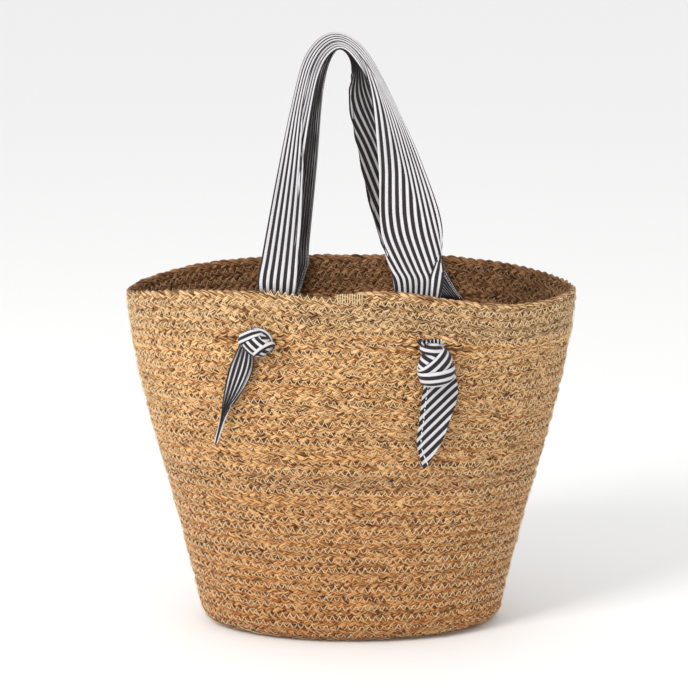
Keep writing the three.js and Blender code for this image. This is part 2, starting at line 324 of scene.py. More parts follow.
def mixed(tree, share, a, b, blend="MIX"):
    node = add_node(tree, "ShaderNodeMix", data_type="RGBA", blend_type=blend)
    for socket, value in ((node.inputs["Factor"], share), (node.inputs["A"], a), (node.inputs["B"], b)):
        if isinstance(value, tuple):
            socket.default_value = (*value, 1)
        elif isinstance(value, (int, float)):
            socket.default_value = value
        else:
            tree.links.new(value, socket)
    return node.outputs["Result"]


def colour_mix(tree, share, a, b, blend="MIX"):
    """Mixes two colours, given as sockets or as (r, g, b)."""
    node = add_node(tree, "ShaderNodeMix", data_type="RGBA", blend_type=blend)
    places = (node.inputs[0], node.inputs[6], node.inputs[7])
    for socket, value in zip(places, (share, a, b)):
        if isinstance(value, tuple):
            socket.default_value = (*value, 1)
        elif isinstance(value, (int, float)):
            socket.default_value = value
        else:
            tree.links.new(value, socket)
    return node.outputs[2]


# Jute from its darkest fibre to its palest: the golden braid, and the greyer braid near the rim
JUTE_LEVELS = (0.0, 0.3, 0.6, 1.0)
GOLDEN_JUTE = ((0.04, 0.01, 0.002), (0.25, 0.09, 0.02), (0.47, 0.22, 0.06), (0.8, 0.52, 0.24))
GREY_JUTE = ((0.03, 0.01, 0.003), (0.18, 0.085, 0.028), (0.35, 0.19, 0.07), (0.68, 0.46, 0.24))


def jute_material(name, light):
    """Plaited jute: fibres along each strand, dark between them, with painted shade on each strand's rounded sides, on
    the faces towards the basket's inside and towards the bottom of the wall.
    """
    material, tree, shader = new_material(name)
    uv = add_node(tree, "ShaderNodeUVMap", uv_map="UVMap").outputs["UV"]

    def fibres(along, across, turn, detail, rough):
        stretch = add_node(tree, "ShaderNodeMapping")
        stretch.inputs["Scale"].default_value = (along, across, 1)
        stretch.inputs["Rotation"].default_value = (0, 0, turn)
        tree.links.new(uv, stretch.inputs["Vector"])
        return linked_noise(tree, stretch.outputs["Vector"], 1.0, detail, rough)

    streak = fibres(60, 720, 0.07, 1.5, 0.6)
    fine = fibres(95, 1400, -0.05, 1.0, 0.6)
    patch = fibres(75, 230, 0.0, 2.0, 0.5)
    tone = add_node(tree, "ShaderNodeAttribute", attribute_name="tone").outputs["Fac"]
    grey = add_node(tree, "ShaderNodeAttribute", attribute_name="grey").outputs["Fac"]
    deep = add_node(tree, "ShaderNodeAttribute", attribute_name="deep").outputs["Fac"]
    low = add_node(tree, "ShaderNodeAttribute", attribute_name="low").outputs["Fac"]
    level = maths(tree, "ADD", maths(tree, "MULTIPLY", streak, 2.7), maths(tree, "MULTIPLY", fine, 3.3))
    level = maths(tree, "ADD", level, maths(tree, "MULTIPLY", patch, 0.35))
    level = maths(tree, "ADD", level, maths(tree, "MULTIPLY", tone, 0.42))
    level = maths(tree, "SUBTRACT", level, 2.76)
    warm = ramp(tree, level, list(zip(JUTE_LEVELS, GOLDEN_JUTE)))
    cool = ramp(tree, level, list(zip(JUTE_LEVELS, GREY_JUTE)))
    colour = colour_mix(tree, grey, warm, cool)
    parts = add_node(tree, "ShaderNodeSeparateXYZ")
    tree.links.new(uv, parts.inputs["Vector"])
    # Painted shade: each strand darkened towards its rounded sides, where the crevices of the plait lie in shadow
    round_it = maths(tree, "MULTIPLY", parts.outputs["Y"], 2 * math.pi / STRAND_ROUND)
    side = maths(tree, "POWER", maths(tree, "ABSOLUTE", maths(tree, "COSINE", round_it)), 5.0)
    colour = colour_mix(tree, maths(tree, "MULTIPLY", side, 0.66), colour, (0.20, 0.09, 0.035), "MULTIPLY")
    # Painted shade: the braid darkened towards the bottom of the wall, which faces down, away from the key light
    colour = colour_mix(tree, low, colour, (0.72, 0.54, 0.36), "MULTIPLY")
    # Painted shade on the strand faces towards the basket's inside, together with the dark band's own darker colour
    colour = colour_mix(tree, deep, colour, (0.38, 0.20, 0.09), "MULTIPLY")
    # light below 1 darkens the whole material as painted shade, as on the wall's dark core sheet
    colour = colour_mix(tree, 1.0, colour, (light, light, light), "MULTIPLY")
    tree.links.new(colour, shader.inputs["Base Color"])
    rough = ramp(tree, streak, [(0.3, (0.85, 0.85, 0.85)), (0.7, (0.58, 0.58, 0.58))])
    tree.links.new(rough, shader.inputs["Roughness"])
    shader.inputs["Specular IOR Level"].default_value = 0.3
    shader.inputs["Sheen Weight"].default_value = 0.10
    shader.inputs["Sheen Roughness"].default_value = 0.5
    bump = add_node(tree, "ShaderNodeBump")
    bump.inputs["Strength"].default_value = 1.0
    bump.inputs["Distance"].default_value = 0.0010
    tree.links.new(maths(tree, "ADD", streak, maths(tree, "MULTIPLY", fine, 0.4)), bump.inputs["Height"])
    tree.links.new(bump.outputs["Normal"], shader.inputs["Normal"])
    return material


def thread_material(name, light):
    material, tree, shader = new_material(name)
    uv = add_node(tree, "ShaderNodeUVMap", uv_map="UVMap").outputs["UV"]
    patch = linked_noise(tree, uv, 40.0, 2.0)
    colour = ramp(tree, patch, [(0.25, (0.62, 0.46, 0.26)), (0.5, (0.80, 0.65, 0.42)), (0.8, (0.92, 0.81, 0.60))])
    colour = colour_mix(tree, 1.0, colour, light, "MULTIPLY")
    tree.links.new(colour, shader.inputs["Base Color"])
    shader.inputs["Roughness"].default_value = 0.6
    shader.inputs["Sheen Weight"].default_value = 0.2
    twist = add_node(tree, "ShaderNodeTexWave", bands_direction="DIAGONAL")
    twist.inputs["Scale"].default_value = 400
    tree.links.new(uv, twist.inputs["Vector"])
    bump = add_node(tree, "ShaderNodeBump")
    bump.inputs["Strength"].default_value = 0.5
    bump.inputs["Distance"].default_value = 0.0002
    tree.links.new(twist.outputs["Fac"], bump.inputs["Height"])
    tree.links.new(bump.outputs["Normal"], shader.inputs["Normal"])
    return material


STRAND_ROUND = 0.015
jute = jute_material("jute", 1.0)
thread = thread_material("sewing_thread", (1.0, 0.96, 0.88))
stray = thread_material("stray_fibre", (1.0, 0.90, 0.74))
# Painted shade: a darkened copy of the thread for the seams on the basket's shaded inside
shaded_thread = thread_material("sewing_thread_inside_painted_shade", (0.46, 0.36, 0.26))

# ---------------------------------------------------------------- the braid: three plaited strands
STRANDS = 3
STRAND_SIDES = 8
PLAIT_LENGTH = 26.5
PLAIT_SWING = 3.1
PLAIT_DEPTH = 1.2
STRAND_HALF_WIDE = 3.35
STRAND_HALF_THICK = 1.4
END_SINK, END_SINK_LENGTH = 3.5, 60.0


def slit_shift(reach, angle, middle):
    """How the slits part the courses: each point's shift up the wall and outward."""
    up = np.zeros(len(reach))
    out = np.zeros(len(reach))
    for slit in ENDS.values():
        here = np.sign(middle[:, 1]) == slit["side"]
        along = np.abs(middle[:, 0] - slit["x"]) / (SLIT_LENGTH / 2)
        open_share = np.where(here & (along < 1), np.cos(np.clip(along, 0, 1) * math.pi / 2), 0)
        bulge = np.where(here, np.exp(-(along / 0.95) ** 4), 0)
        above = reach - slit["reach"]
        up += np.where(above > 0, 2.4, -1.6) * open_share * np.exp(-np.abs(above) / 14)
        out += np.where(above > 0, 2.2, 0.6) * bulge * np.exp(-np.abs(above - 5) / 13)
    return up, out


def place_slits():
    """Puts each slit on the seam nearest its height, half a course off the courses' middles."""
    for slit in ENDS.values():
        angle = slit["side"] * math.acos(slit["x"] / half_width(SLIT_HEIGHT))
        turns = (path_angle - angle) / (2 * math.pi)
        nearest = np.interp(np.arange(np.ceil(turns.min()), turns.max()), turns[::-1], path_reach[::-1])
        seams = nearest + COURSE / 2
        wanted = reach_of(SLIT_HEIGHT)
        slit["reach"] = float(seams[np.abs(seams - wanted).argmin()])
        slit["angle"] = angle


place_slits()


def braid_frames():
    """The braid's path with its frames, held open at the slits, wavering a little as sewn braid does."""
    waver = smooth_noise(len(path_reach), 22, 3) * 0.6 + smooth_noise(len(path_reach), 90, 4) * 0.8
    sink = END_SINK * np.clip(1 - (path_length[-1] - path_length) / END_SINK_LENGTH, 0, 1) ** 1.5
    middle, across, out = frames(path_reach + waver - sink, path_angle)
    up, push = slit_shift(path_reach, path_angle, middle)
    proud = smooth_noise(len(path_reach), 30, 5) * 0.45 + smooth_noise(len(path_reach), 160, 6) * 0.5
    base = path_reach < 0
    proud = np.where(base, proud * 0.4 + 0.5, proud)
    middle = middle + across * up[:, None] + out * (push + proud)[:, None]
    return middle, across, out


mid_line, mid_across, mid_out = braid_frames()
pitch_share = np.linalg.norm(surface(path_reach + COURSE / 2, path_angle) - surface(path_reach - COURSE / 2, path_angle),
                             axis=-1) / COURSE


def strand_points(strand, first, last):
    """One strand's tube between two steps of the path: its points, how far along the path each ring lies, and the
    plait's phase there.
    """
    at = slice(first, last)
    n = last - first
    length = path_length[at]
    stretch = smooth_noise(len(path_length), 60, 11)[at]
    slow = smooth_noise(len(path_length), 340, 12)[at]
    phase = 2 * math.pi * (length / PLAIT_LENGTH + strand / STRANDS) + 0.9 * stretch + 7.0 * slow
    fat = 1 + 0.13 * smooth_noise(len(path_length), 9, 20 + strand)[at]
    fat += 0.10 * smooth_noise(len(path_length), 40, 30 + strand)[at]
    thick = 1 + 0.12 * smooth_noise(len(path_length), 8, 40 + strand)[at]
    end_taper = np.clip((path_length[-1] - length) / 30, 0.6, 1) * np.clip(length / 25 + 0.4, 0, 1)
    row = pitch_share[at]
    swing = PLAIT_SWING * row * np.sin(phase) * end_taper
    depth = PLAIT_DEPTH * np.sin(2 * phase)
    line = mid_line[at] + mid_across[at] * swing[:, None] + mid_out[at] * depth[:, None]
    along = unit(np.gradient(line, axis=0))
    side = unit(mid_across[at] - along * np.sum(mid_across[at] * along, -1, keepdims=True))
    face = np.cross(side, along)
    turn = np.arange(STRAND_SIDES) * 2 * math.pi / STRAND_SIDES
    cos, sin = np.cos(turn), np.sin(turn)
    wide = (STRAND_HALF_WIDE * row * fat * end_taper)[:, None] * np.sign(cos) * np.abs(cos) ** 0.85
    deep = (STRAND_HALF_THICK * thick)[:, None] * np.sign(sin) * np.abs(sin) ** 0.85
    points = line[:, None] + side[:, None] * wide[..., None] + face[:, None] * deep[..., None]
    return points, length, phase


def tone_along(strand):
    """Tone that changes with each bundle of fibres: one value about every half plait, and slow drift."""
    n = len(path_length)
    picks = np.random.default_rng(50 + strand)
    block = (path_length / (PLAIT_LENGTH * 0.5) + strand / STRANDS).astype(int)
    values = picks.normal(0.5, 0.19, block.max() + 2)
    step = values[block]
    kernel = np.ones(3) / 3
    step = np.convolve(step, kernel, "same")
    drift = smooth_noise(n, 420, 60 + strand) * 0.08 + smooth_noise(n, 75, 70 + strand) * 0.15
    rare = picks.random(block.max() + 2) < 0.045
    dark = rare[block] * picks.uniform(0.25, 0.5, block.max() + 2)[block]
    return step + drift - dark


TONES = [tone_along(k) for k in range(STRANDS)]


def grey_along():
    """The greyer stretch of braid near the rim, and the dull band round the middle."""
    height = path_reach - HEEL_ARC + HEEL_RADIUS
    wander = smooth_noise(len(height), 260, 81) * 8
    top = np.clip((height + wander - 306) / 14, 0, 1) * 0.75
    low, high = DARK_BAND
    band = np.exp(-((height - (low + high) / 2) / 8.5) ** 4) * 0.5
    fleck = np.clip(smooth_noise(len(height), 130, 82) - 0.45, 0, 1) * 0.8
    return np.clip(top + band + fleck, 0, 1), band


GREY, BAND = grey_along()


INSIDE_SHADE = 0.75


def braid_piece(name, first, last):
    last = min(last + 1, len(path_length))
    points, faces, uvs, tone, grey, deep, low = [], [], [], [], [], [], []
    base = 0
    # Painted shade: the half of each strand that faces the basket's inside
    inside = INSIDE_SHADE * (np.arange(STRAND_SIDES) > STRAND_SIDES / 2)
    height = path_reach[first:last] - HEEL_ARC + HEEL_RADIUS
    # Painted shade of the lower wall: full near the base, fading to nothing about 300 mm up
    lower_wall_shade = np.clip(1.05 - height / 290, 0, 1)
    for strand in range(STRANDS):
        tube, length, phase = strand_points(strand, first, last)
        rings = len(length)
        quads = tube_faces(rings, STRAND_SIDES)
        points.append(tube.reshape(-1, 3))
        ring, column = quads[:, [0, 1, 2, 3]] // STRAND_SIDES, quads % STRAND_SIDES
        column = np.where((column == 0) & (np.arange(4) % 4 != 0) & (quads[:, :1] % STRAND_SIDES == STRAND_SIDES - 1),
                          STRAND_SIDES, column)
        u = (length * MM)[ring] + strand * 0.37
        v = column / STRAND_SIDES * STRAND_ROUND
        uvs.append(np.stack([u, v], -1).reshape(-1, 2))
        cap_low = base + np.arange(STRAND_SIDES)[::-1]
        cap_high = base + (rings - 1) * STRAND_SIDES + np.arange(STRAND_SIDES)
        faces.append(quads + base)
        tone.append(np.repeat(TONES[strand][first:last], STRAND_SIDES))
        grey.append(np.repeat(GREY[first:last], STRAND_SIDES))
        # deep carries the dark band's real darker colour and the painted shade of the inside faces
        deep.append((BAND[first:last, None] * 0.35 + inside).ravel())
        low.append(np.repeat(lower_wall_shade, STRAND_SIDES))
        base += rings * STRAND_SIDES
    piece = make_mesh(name, np.concatenate(points), np.concatenate(faces), np.concatenate(uvs),
                      {"tone": np.concatenate(tone), "grey": np.concatenate(grey), "deep": np.concatenate(deep),
                       "low": np.concatenate(low)})
    piece.data.materials.append(jute)
    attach(piece, "basket")
    return piece


def step_at(height):
    """The first step of the path whose course lies above a course height."""
    return int(np.searchsorted(path_reach, reach_of(height)))


def make_basket():
    base_end = int(np.searchsorted(path_reach, 0))
    marks = {
        "base_coil": [0, base_end],
        "heel_courses": [base_end, step_at(HEEL_TOP)],
        "lower_wall_courses": [step_at(HEEL_TOP), step_at(70), step_at(114), step_at(DARK_BAND[0])],
        "dark_band_courses": [step_at(DARK_BAND[0]), step_at(DARK_BAND[1])],
        "upper_wall_courses": [step_at(DARK_BAND[1]), step_at(222), step_at(266), step_at(SLIT_HEIGHT)],
        "shoulder_courses": [step_at(SLIT_HEIGHT), step_at(RIM_HEIGHT - COURSE)],
        "rim_course": [step_at(RIM_HEIGHT - COURSE), len(path_length) - 1],
    }
    for node, steps in marks.items():
        for part, (first, last) in enumerate(zip(steps, steps[1:])):
            piece = braid_piece(f"braid_{node}_{part + 1}", first, last)
            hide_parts(node)


def make_core():
    """A dark sheet in the middle of the wall's thickness: painted shade, which shows only as the dark between the
    strands.
    """
    reach = np.concatenate([np.arange(SPINE + 0.5, 0, 6.0), np.arange(0, HEEL_ARC, 4.0),
                            np.arange(HEEL_ARC, TOP_REACH - COURSE * 0.4, 7.0), [TOP_REACH - COURSE * 0.4]])
    angle = np.linspace(0, 2 * math.pi, 181)[:-1]
    r, a = np.meshgrid(reach, angle, indexing="ij")
    turned = np.mod(angle - END_ANGLE, 2 * math.pi) / (2 * math.pi)
    r = np.minimum(r, (SPIRAL_END - COURSE * turned - CORE_BELOW_TOP)[None])
    middle, across, out = frames(r, a)
    up, push = slit_shift(r.ravel(), a.ravel(), middle.reshape(-1, 3))
    middle = middle + across * up.reshape(r.shape + (1,)) + out * push.reshape(r.shape + (1,))
    half = CORE_THICK / 2
    rings = np.concatenate([middle + out * half, (middle - out * half)[::-1]])
    count, around = rings.shape[:2]
    quads = tube_faces(count, around)
    joined = np.stack([np.arange(around), (np.arange(around) + 1) % around], -1)
    last = (count - 1) * around
    seal = np.stack([last + joined[:, 0], last + joined[:, 1], joined[:, 1], joined[:, 0]], -1)
    piece = make_mesh("braid_shade_sheet", rings.reshape(-1, 3), np.concatenate([quads, seal]),
                      np.zeros(((len(quads) + len(seal)) * 4, 2)))
    piece.data.materials.append(core_shade_jute)
    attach(piece, "basket")


KNOT_CLEAR = 40.0


def make_fibres():
    """Loose fibres of the braid that stand a little off its outside, below the rim course and away from the knots."""
    picks = np.random.default_rng(400)
    count, joints, sides = 4200, 6, 3
    first = int(np.searchsorted(path_reach, 2))
    at = picks.integers(first, int(np.searchsorted(path_reach, SPIRAL_END - COURSE * 1.2)), count)
    for slit in ENDS.values():
        near = np.abs(mid_line[at][:, 0] - slit["x"]) < KNOT_CLEAR
        near &= (np.sign(mid_line[at][:, 1]) == slit["side"]) & (mid_line[at][:, 2] > SLIT_HEIGHT - 2 * KNOT_CLEAR)
        at = at[~near]
    count = len(at)
    steps = picks.integers(3, 10, count)
    tilt = picks.choice([-1.0, 1.0], count) * picks.uniform(0.1, 1.5, count)
    start = picks.uniform(-3.5, 3.5, count)
    lift = picks.uniform(0.1, 1.1, count) * picks.choice([1, 1, 1, 2.2], count)
    share = np.linspace(0, 1, joints)
    index = np.minimum(at[:, None] + (steps[:, None] * share).astype(int), len(path_length) - 1)
    along = (share - 0.5)[None] * steps[:, None] * PATH_STEP
    base = mid_line[at][:, None] + unit(mid_line[np.minimum(at + 4, len(mid_line) - 1)] - mid_line[at])[:, None] * along[..., None]
    rise = 2.7 + lift[:, None] * np.sin(np.pi * share)[None] * 0.8
    side = start[:, None] + along * tilt[:, None] + picks.normal(0, 0.35, (count, joints))
    line = base + mid_across[at][:, None] * side[..., None] + mid_out[at][:, None] * rise[..., None]
    turn = np.arange(sides) * 2 * math.pi / sides
    thin = 0.24 * (1 - 0.75 * np.abs(2 * share - 1))
    ring = mid_across[at][:, None, None] * np.cos(turn)[None, None, :, None] + \
        mid_out[at][:, None, None] * np.sin(turn)[None, None, :, None]
    points = line[:, :, None] + ring * thin[None, :, None, None]
    quads = tube_faces(joints, sides)
    faces = (quads[None] + (np.arange(count) * joints * sides)[:, None, None]).reshape(-1, 4)
    v = np.repeat(picks.uniform(0, 0.004, count), len(quads))[:, None].repeat(4, 1)
    u = np.repeat(picks.uniform(0, 9, count), len(quads))[:, None] + (quads // sides * 0.002)[None].repeat(
        count, 0).reshape(-1, 4)
    piece = make_mesh("loose_fibres", points.reshape(-1, 3), faces, np.stack([u, v], -1).reshape(-1, 2),
                      {})
    piece.data.materials.append(stray)
    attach(piece, "basket")


CORE_THICK = 1.4
CORE_BELOW_TOP = 1.5
# Painted shade: the core sheet's jute darkened, standing for the shade in the gaps between strands
core_shade_jute = jute_material("jute_core_painted_shade", 0.66)
make_basket()
make_core()
make_fibres()

# ---------------------------------------------------------------- the zigzag seam
STITCH_PITCH = 7.0
STITCH_SWING = 2.9
THREAD_RADIUS = 0.34
THREAD_SIDES = 4


def seam_points(face):
    """Corner points of the zigzag along every seam, on the outer (1) or inner (-1) face."""
    total = path_length[-1]
    wander = np.random.default_rng(90 + face)
    count = int(total / (STITCH_PITCH / 2))
    at = np.arange(count) * STITCH_PITCH / 2 + wander.normal(0, 0.22, count)
    reach = np.interp(at, path_length, path_reach) + COURSE / 2
    keep = reach < SPIRAL_END - COURSE * 0.45
    at, reach = at[keep], reach[keep]
    angle = np.interp(at, path_length, path_angle)
    loose = smooth_noise(len(at), 60, 95 + face)
    zig = np.where(np.arange(len(at)) % 2, 1.0, -1.0) * STITCH_SWING
    zig = zig * (1 + 0.12 * loose + wander.normal(0, 0.08, len(at))) + smooth_noise(len(at), 25, 97 + face) * 0.8
    middle, across, out = frames(reach, angle)
    up, push = slit_shift(reach + zig, angle, middle)
    in_slit = np.zeros(len(at), bool)
    for slit in ENDS.values():
        near = (np.abs(middle[:, 0] - slit["x"]) < SLIT_LENGTH / 2 - 2) & (np.sign(middle[:, 1]) == slit["side"])
        in_slit |= near & (np.abs(reach - slit["reach"]) < COURSE * 0.5)
    middle = middle + across * (zig + up)[:, None] + out * push[:, None]
    return middle, across, out * face, ~in_slit, reach


def stitch_mesh(name, face, low, high):
    corners, across, out, sewn, reach = seam_points(face)
    legs = np.where(sewn[:-1] & sewn[1:] & (reach[:-1] >= low) & (reach[:-1] < high))[0]
    shares = np.array([0.0, 0.18, 0.5, 0.82, 1.0])
    lift = np.array([1.4, 2.85, 3.15, 2.85, 1.4])
    a, b = corners[legs], corners[legs + 1]
    normal = out[legs]
    wobble = np.random.default_rng(101).normal(0, 0.2, (len(legs), 1))
    wobble = wobble + (smooth_noise(len(legs), 45, 103) * 0.5 + smooth_noise(len(legs), 160, 104) * 0.8 - 0.3)[:, None]
    line = a[:, None] + (b - a)[:, None] * shares[:, None] + normal[:, None] * (lift + wobble)[..., None]
    along = unit(b - a)
    side = unit(np.cross(along, normal))
    turn = np.arange(THREAD_SIDES) * 2 * math.pi / THREAD_SIDES + math.pi / 4
    ring = side[:, None] * np.cos(turn)[:, None] + normal[:, None] * np.sin(turn)[:, None]
    points = line[:, :, None] + ring[:, None] * THREAD_RADIUS
    rings = len(shares)
    quads = tube_faces(rings, THREAD_SIDES)
    each = rings * THREAD_SIDES
    faces = (quads[None] + (np.arange(len(legs)) * each)[:, None, None]).reshape(-1, 4)
    u = np.repeat(np.arange(len(legs)) * 0.0035, len(quads))[:, None] + (quads // THREAD_SIDES * 0.0009)[None].repeat(
        len(legs), 0).reshape(-1, 4)
    v = np.tile(np.array([0, 0.25, 0.25, 0]) * 0.002, (len(faces), 1))
    piece = make_mesh(name, points.reshape(-1, 3), faces, np.stack([u, v], -1).reshape(-1, 2))
    piece.data.materials.append(thread if face > 0 else shaded_thread)
    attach(piece, "basket")
    return piece


def end_stitches():
    """The close upright stitches that fasten the braid's end to the course below."""
    count, height = 11, 5.2
    at = path_length[-1] - 2.5 - 2.3 * np.arange(count)
    lines = [np.stack([np.interp(at, path_length, column) for column in table.T], 1)
             for table in (mid_line, mid_across, mid_out)]
    middle, across, out = (table[:, None] for table in lines)
    share = np.linspace(-1, 1, 5)[None, :, None]
    line = middle + across * (share * height - 1.0) + out * (3.15 - 1.3 * share ** 4)
    turn = np.arange(THREAD_SIDES) * 2 * math.pi / THREAD_SIDES
    side = unit(np.cross(across, out))
    ring = side[:, :, None] * np.cos(turn)[:, None] + out[:, :, None] * np.sin(turn)[:, None]
    points = line[:, :, None] + ring * THREAD_RADIUS
    quads = tube_faces(5, THREAD_SIDES)
    faces = (quads[None] + (np.arange(count) * 5 * THREAD_SIDES)[:, None, None]).reshape(-1, 4)
    uvs = np.stack([np.repeat(np.arange(len(faces)) * 0.0009, 4), np.zeros(len(faces) * 4)], -1)
    piece = make_mesh("end_stitches", points.reshape(-1, 3), faces, uvs)
    piece.data.materials.append(thread)
    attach(piece, "basket")


def make_seams():
    end_stitches()
    stitch_mesh("seam_outside_low", 1, 0, reach_of(180))
    stitch_mesh("seam_outside_high", 1, reach_of(180), SPIRAL_END)
    stitch_mesh("seam_inside_low", -1, 0, reach_of(180))
    stitch_mesh("seam_inside_high", -1, reach_of(180), SPIRAL_END)
    stitch_mesh("seam_base_outside", 1, SPIRAL_START, 0)
    stitch_mesh("seam_base_inside", -1, SPIRAL_START, 0)


make_seams()


# ---------------------------------------------------------------- the cotton strips
STRIP_WIDTH = 92.0
STRIPE_PITCH = 7.0
CLOTH_THICK = 0.55
PLEAT_CLOTH = 7.0
ROW_STEP = 2.2
COLUMNS = 150

LOOP_THICK, TOP_GAP, ROOT_THICK, ROOT_CLEAR = 6.0, 4.0, 5.0, 2.5
NECK_HALF_WIDTH = 15.0
LOOP_FOOT_Y, LOOP_FOOT_Z = RIM_DEPTH / 2 - LOOP_INSET, RIM_HEIGHT + LOOP_START
LOOP_TOP_Y, LOOP_TOP_Z = TOP_GAP / 2 + LOOP_THICK / 2, RIM_HEIGHT + HANDLE_RISE
LOOP_LEAN = math.atan2(LOOP_FOOT_Y - LOOP_TOP_Y, LOOP_TOP_Z - LOOP_FOOT_Z)
LOOP_LENGTH = math.hypot(LOOP_FOOT_Y - LOOP_TOP_Y, LOOP_TOP_Z - LOOP_FOOT_Z)


def cotton_material():
    """Yarn-dyed ticking: charcoal and white stripes by the cloth's own width, a plain weave, and a stitched hem."""
    material, tree, shader = new_material("striped_cotton")
    uv = add_node(tree, "ShaderNodeUVMap", uv_map="UVMap").outputs["UV"]
    parts = add_node(tree, "ShaderNodeSeparateXYZ")
    tree.links.new(uv, parts.inputs["Vector"])
    u, v = parts.outputs["X"], parts.outputs["Y"]
    yarn = add_node(tree, "ShaderNodeMapping")
    yarn.inputs["Scale"].default_value = (2600, 90, 1)
    tree.links.new(uv, yarn.inputs["Vector"])
    yarn_tone = linked_noise(tree, yarn.outputs["Vector"], 1.0, 2.0)
    waver = maths(tree, "MULTIPLY", maths(tree, "SUBTRACT", linked_noise(tree, uv, 900.0, 2.0), 0.5), 0.0006)
    along = maths(tree, "FRACT", maths(tree, "MULTIPLY", maths(tree, "ADD", u, waver), 1000 / STRIPE_PITCH))
    wave = maths(tree, "ABSOLUTE", maths(tree, "SUBTRACT", along, 0.5))
    dark = maths(tree, "MULTIPLY", maths(tree, "SUBTRACT", wave, 0.208), 14.0)
    dark = maths(tree, "ADD", dark, 0.5)
    clamp = add_node(tree, "ShaderNodeClamp")
    tree.links.new(dark, clamp.inputs["Value"])
    white = ramp(tree, yarn_tone, [(0.3, (0.53, 0.515, 0.535)), (0.7, (0.70, 0.685, 0.705))])
    charcoal = ramp(tree, yarn_tone, [(0.3, (0.010, 0.008, 0.0085)), (0.7, (0.046, 0.037, 0.039))])
    colour = colour_mix(tree, clamp.outputs["Result"], white, charcoal)
    edge = add_node(tree, "ShaderNodeAttribute", attribute_name="edge").outputs["Fac"]
    on_hem = maths(tree, "LESS_THAN", maths(tree, "ABSOLUTE", maths(tree, "SUBTRACT", edge, 4.2)), 0.45)
    dash = maths(tree, "LESS_THAN", maths(tree, "FRACT", maths(tree, "MULTIPLY", v, 330.0)), 0.6)
    stitch = maths(tree, "MULTIPLY", on_hem, dash)
    colour = colour_mix(tree, stitch, colour, (0.78, 0.76, 0.78))
    tree.links.new(colour, shader.inputs["Base Color"])
    shader.inputs["Roughness"].default_value = 0.85
    shader.inputs["Specular IOR Level"].default_value = 0.12
    shader.inputs["Sheen Weight"].default_value = 0.12
    shader.inputs["Sheen Roughness"].default_value = 0.45
    waves = []
    for direction in ("X", "Y"):
        wave = add_node(tree, "ShaderNodeTexWave", bands_direction=direction)
        wave.inputs["Scale"].default_value = 520
        wave.inputs["Distortion"].default_value = 0.4
        tree.links.new(uv, wave.inputs["Vector"])
        waves.append(wave.outputs["Fac"])
    weave = maths(tree, "ADD", waves[0], waves[1])
    relief = maths(tree, "ADD", maths(tree, "MULTIPLY", weave, 0.4), linked_noise(tree, uv, 420.0, 3.0))
    bump = add_node(tree, "ShaderNodeBump")
    bump.inputs["Strength"].default_value = 0.5
    bump.inputs["Distance"].default_value = 0.0004
    tree.links.new(relief, bump.inputs["Height"])
    tree.links.new(bump.outputs["Normal"], shader.inputs["Normal"])
    return material


cotton = cotton_material()


def spline(rows, count):
    """A smooth curve through rows of numbers, with count rows."""
    rows = np.asarray(rows, float)
    last = len(rows) - 1
    t = np.linspace(0, last, count)
    i = np.minimum(t.astype(int), last - 1)
    f = (t - i)[:, None]
    a, b, c, d = (rows[np.clip(i + k, 0, last)] for k in (-1, 0, 1, 2))
    return 0.5 * (2 * b + (c - a) * f + (2 * a - 5 * b + 4 * c - d) * f ** 2 + (3 * b - a - 3 * c + d) * f ** 3)


def blur(values, radius, axis):
    """Averages an array along one axis with a soft window, keeping its ends in place."""
    if radius < 1:
        return values
    window = np.hanning(2 * radius + 3)[1:-1]
    window /= window.sum()
    moved = np.moveaxis(values, axis, 0)
    padded = np.concatenate([2 * moved[:1] - moved[radius:0:-1], moved, 2 * moved[-1:] - moved[-2:-radius - 2:-1]])
    total = sum(w * padded[k:k + len(moved)] for k, w in enumerate(window))
    return np.moveaxis(total, 0, axis)


